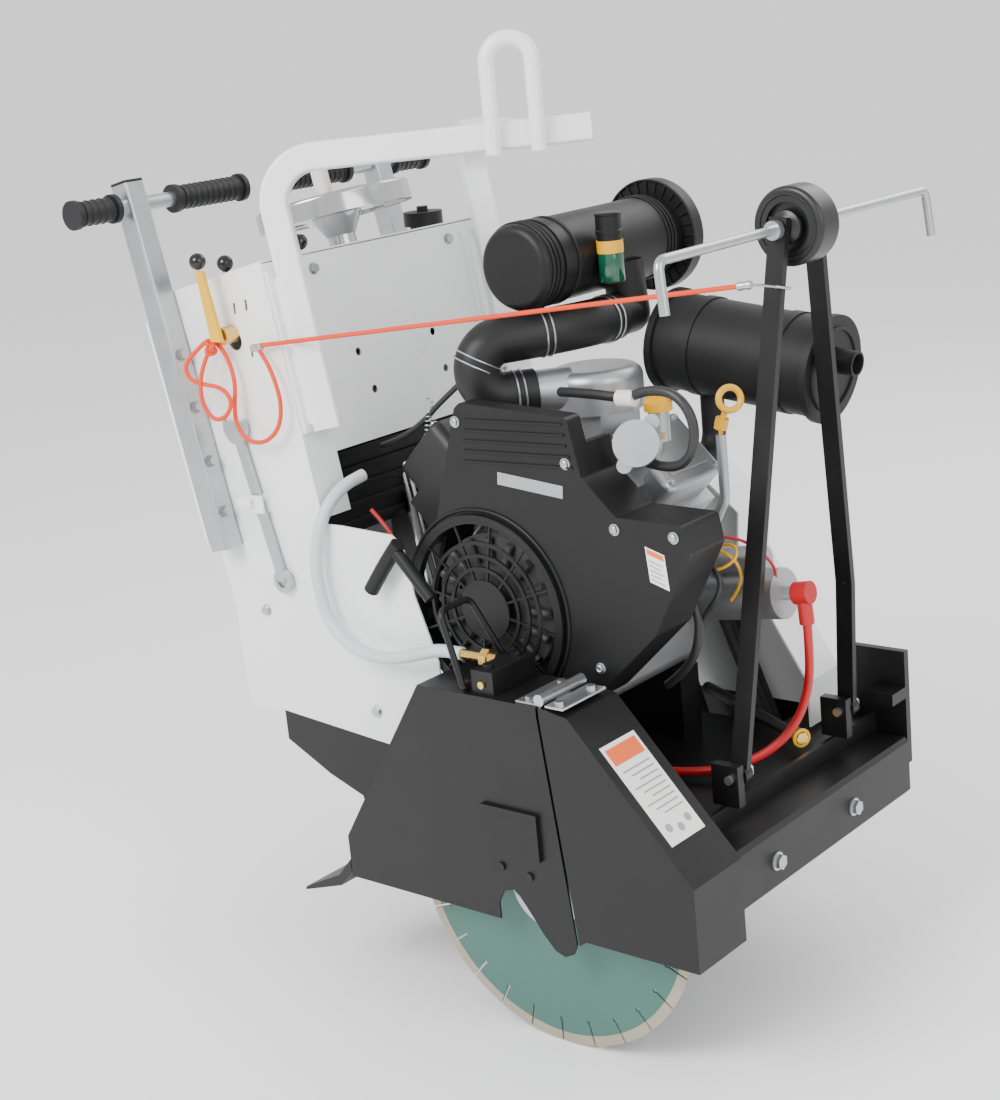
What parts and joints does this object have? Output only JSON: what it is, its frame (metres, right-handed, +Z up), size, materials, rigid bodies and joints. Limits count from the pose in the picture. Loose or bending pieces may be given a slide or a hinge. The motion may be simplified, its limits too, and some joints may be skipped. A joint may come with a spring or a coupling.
{
  "type": "walk-behind concrete saw",
  "caption": "Walk-behind concrete saw with a twin-cylinder engine, guarded diamond blade, depth handwheel, lifting frame and folding cut pointer.",
  "frame": {"origin": "middle of the footprint, at the height of the blade's lowest edge", "axes": "+X the cutting direction, +Y the operator's left, +Z up"},
  "size_m": [1.033, 0.74, 1.3236],
  "materials": {
    "black_steel": "semi-gloss black powder coat",
    "zinc_steel": "bright zinc plate",
    "white_paint": "gloss white powder coat",
    "blade_paint": "satin teal paint on steel",
    "segment_metal": "sintered metal",
    "cast_iron": "machined cast iron",
    "belt_rubber": "matt rubber",
    "black_rubber": "satin moulded rubber",
    "brass": "machined brass",
    "engine_alloy": "bead-blasted casting",
    "black_plastic": "grained black moulding",
    "yellow_plastic": "moulded yellow plastic",
    "muffler_steel": "heat-resistant black paint",
    "polished_alloy": "polished aluminium",
    "ivory_plastic": "moulded plastic",
    "lever_black": "ball knob on a plated rod",
    "red_plastic": "moulded red plastic",
    "solid_tyre": "solid rubber on a steel hub",
    "pointer_tyre": "hard rubber wheel",
    "grey_hose": "smooth grey hose",
    "red_cable": "insulated cable and boot",
    "orange_rope": "braided cord"
  },
  "bodies": {
    "chassis": {"frame": "black_steel", "front_weight_bar": "black_steel", "guard_rear": "black_steel", "hex_bolts": "zinc_steel", "handlebars": "zinc_steel", "hinge_leaf_rear": "zinc_steel", "wrench": "zinc_steel", "console_sides": "white_paint", "console_front": "white_paint", "console_top": "white_paint", "lift_frame": "white_paint", "belt_guard": "white_paint", "shaft_bearings": "cast_iron", "drive_belts": "belt_rubber", "grips_and_caps": "black_rubber", "splash_flap": "black_rubber", "intake_hose": "black_rubber", "brass_fittings": "brass", "engine_block": "engine_alloy", "cylinder_heads": "engine_alloy", "valve_covers": "engine_alloy", "intake_dome": "engine_alloy", "fuel_pump": "engine_alloy", "starter_motor": "engine_alloy", "blower_housing": "black_plastic", "air_cleaner": "black_plastic", "fuel_tank": "black_plastic", "battery": "black_plastic", "muffler": "muffler_steel", "water_hose": "grey_hose", "battery_cable": "red_cable", "pointer_line": "orange_rope", "slack_loop": "orange_rope"},
    "blade_assembly": {"blade_core": "blade_paint", "blade_segments": "segment_metal", "blade_flanges": "zinc_steel", "blade_shaft": "zinc_steel", "blade_pulley": "cast_iron"},
    "crank": {"crankshaft": "zinc_steel", "engine_pulley": "cast_iron"},
    "guard_flap": {"guard_front": "black_steel", "hinge_leaf_front": "zinc_steel"},
    "guard_bail": {"guard_handle": "black_steel"},
    "pointer": {"pointer_arms": "black_steel", "pointer_rod": "zinc_steel"},
    "pointer_roller": {"pointer_wheel": "pointer_tyre"},
    "yoke": {"front_yoke": "black_steel"},
    "front_roller_right": {"front_wheel_right": "solid_tyre"},
    "front_roller_left": {"front_wheel_left": "solid_tyre"},
    "rear_roller_right": {"rear_wheel_right": "solid_tyre"},
    "rear_roller_left": {"rear_wheel_left": "solid_tyre"},
    "depth_control": {"depth_handwheel": "polished_alloy"},
    "crank_knob": {"handwheel_knob": "ivory_plastic"},
    "water_tap": {"water_lever": "yellow_plastic"},
    "throttle": {"throttle_lever": "lever_black"},
    "choke": {"choke_lever": "lever_black"},
    "filler_cap": {"fuel_cap": "black_plastic"},
    "oil_filler": {"oil_cap": "yellow_plastic"},
    "oil_gauge": {"dipstick": "yellow_plastic"},
    "stop_switch": {"stop_button": "red_plastic"}
  },
  "joints": [
    {"name": "blade_spin", "type": "hinge", "parent": "chassis", "child": "blade_assembly", "pos_m": [0.2185, 0, 0.2286], "axis": [0, 1, 0], "continuous": true},
    {"name": "crank_spin", "type": "hinge", "parent": "chassis", "child": "crank", "pos_m": [0.0945, 0, 0.5766], "axis": [0, 1, 0], "continuous": true},
    {"name": "guard_flap_hinge", "type": "hinge", "parent": "chassis", "child": "guard_flap", "pos_m": [0.2675, -0.3, 0.5116], "axis": [0, -1, 0], "range_deg": [0, 100]},
    {"name": "guard_bail_hinge", "type": "hinge", "parent": "chassis", "child": "guard_bail", "pos_m": [0.1435, -0.3, 0.5096], "axis": [0, 1, 0], "range_deg": [-40, 15]},
    {"name": "pointer_fold", "type": "hinge", "parent": "chassis", "child": "pointer", "pos_m": [0.4155, 0, 0.3606], "axis": [0, 1, 0], "range_deg": [0, 100]},
    {"name": "pointer_roll", "type": "hinge", "parent": "pointer", "child": "pointer_roller", "pos_m": [0.4665, 0, 1.0576], "axis": [0, 1, 0], "continuous": true},
    {"name": "yoke_swing", "type": "hinge", "parent": "chassis", "child": "yoke", "pos_m": [0.1085, 0, 0.2186], "axis": [0, 1, 0], "range_deg": [0, 46]},
    {"name": "front_right_roll", "type": "hinge", "parent": "yoke", "child": "front_roller_right", "pos_m": [0.3365, -0.192, 0.2146], "axis": [0, 1, 0], "continuous": true},
    {"name": "front_left_roll", "type": "hinge", "parent": "yoke", "child": "front_roller_left", "pos_m": [0.3365, 0.13, 0.2146], "axis": [0, 1, 0], "continuous": true},
    {"name": "rear_right_roll", "type": "hinge", "parent": "chassis", "child": "rear_roller_right", "pos_m": [-0.1115, -0.192, 0.2236], "axis": [0, 1, 0], "continuous": true},
    {"name": "rear_left_roll", "type": "hinge", "parent": "chassis", "child": "rear_roller_left", "pos_m": [-0.1115, 0.192, 0.2236], "axis": [0, 1, 0], "continuous": true},
    {"name": "depth_turn", "type": "hinge", "parent": "chassis", "child": "depth_control", "pos_m": [-0.3375, 0, 1.0866], "axis": [-0.2079, 0, 0.9781], "range_deg": [0, 2880]},
    {"name": "knob_spin", "type": "hinge", "parent": "depth_control", "child": "crank_knob", "pos_m": [-0.2775, -0.072, 1.0986], "axis": [-0.2079, 0, 0.9781], "continuous": true},
    {"name": "water_tap_turn", "type": "hinge", "parent": "chassis", "child": "water_tap", "pos_m": [-0.3295, -0.27, 0.9406], "axis": [0, 1, 0], "range_deg": [0, 90]},
    {"name": "throttle_swing", "type": "hinge", "parent": "chassis", "child": "throttle", "pos_m": [-0.3805, -0.196, 0.9846], "axis": [0, 1, 0], "range_deg": [-14, 14]},
    {"name": "choke_swing", "type": "hinge", "parent": "chassis", "child": "choke", "pos_m": [-0.2905, -0.142, 1.0146], "axis": [0, 1, 0], "range_deg": [-12, 4]},
    {"name": "fuel_cap_turn", "type": "hinge", "parent": "chassis", "child": "filler_cap", "pos_m": [-0.3425, 0.2, 1.0346], "axis": [0, 0, 1], "range_deg": [0, 90]},
    {"name": "oil_cap_turn", "type": "hinge", "parent": "chassis", "child": "oil_filler", "pos_m": [0.2805, -0.064, 0.8246], "axis": [0, 0, 1], "range_deg": [0, 90]},
    {"name": "dipstick_pull", "type": "slide", "parent": "chassis", "child": "oil_gauge", "axis": [0, 0, 1], "range_m": [0, 0.12]},
    {"name": "stop_press", "type": "slide", "parent": "chassis", "child": "stop_switch", "axis": [1, 0, 0], "range_m": [0, 0.006], "stiffness_N_per_m": 250, "springref_m": -0.002}
  ],
  "couplings": [
    {"joint": "crank_spin", "follows": "blade_spin", "ratio": 1.25},
    {"joint": "yoke_swing", "follows": "depth_turn", "ratio": 0.015972}
  ]
}
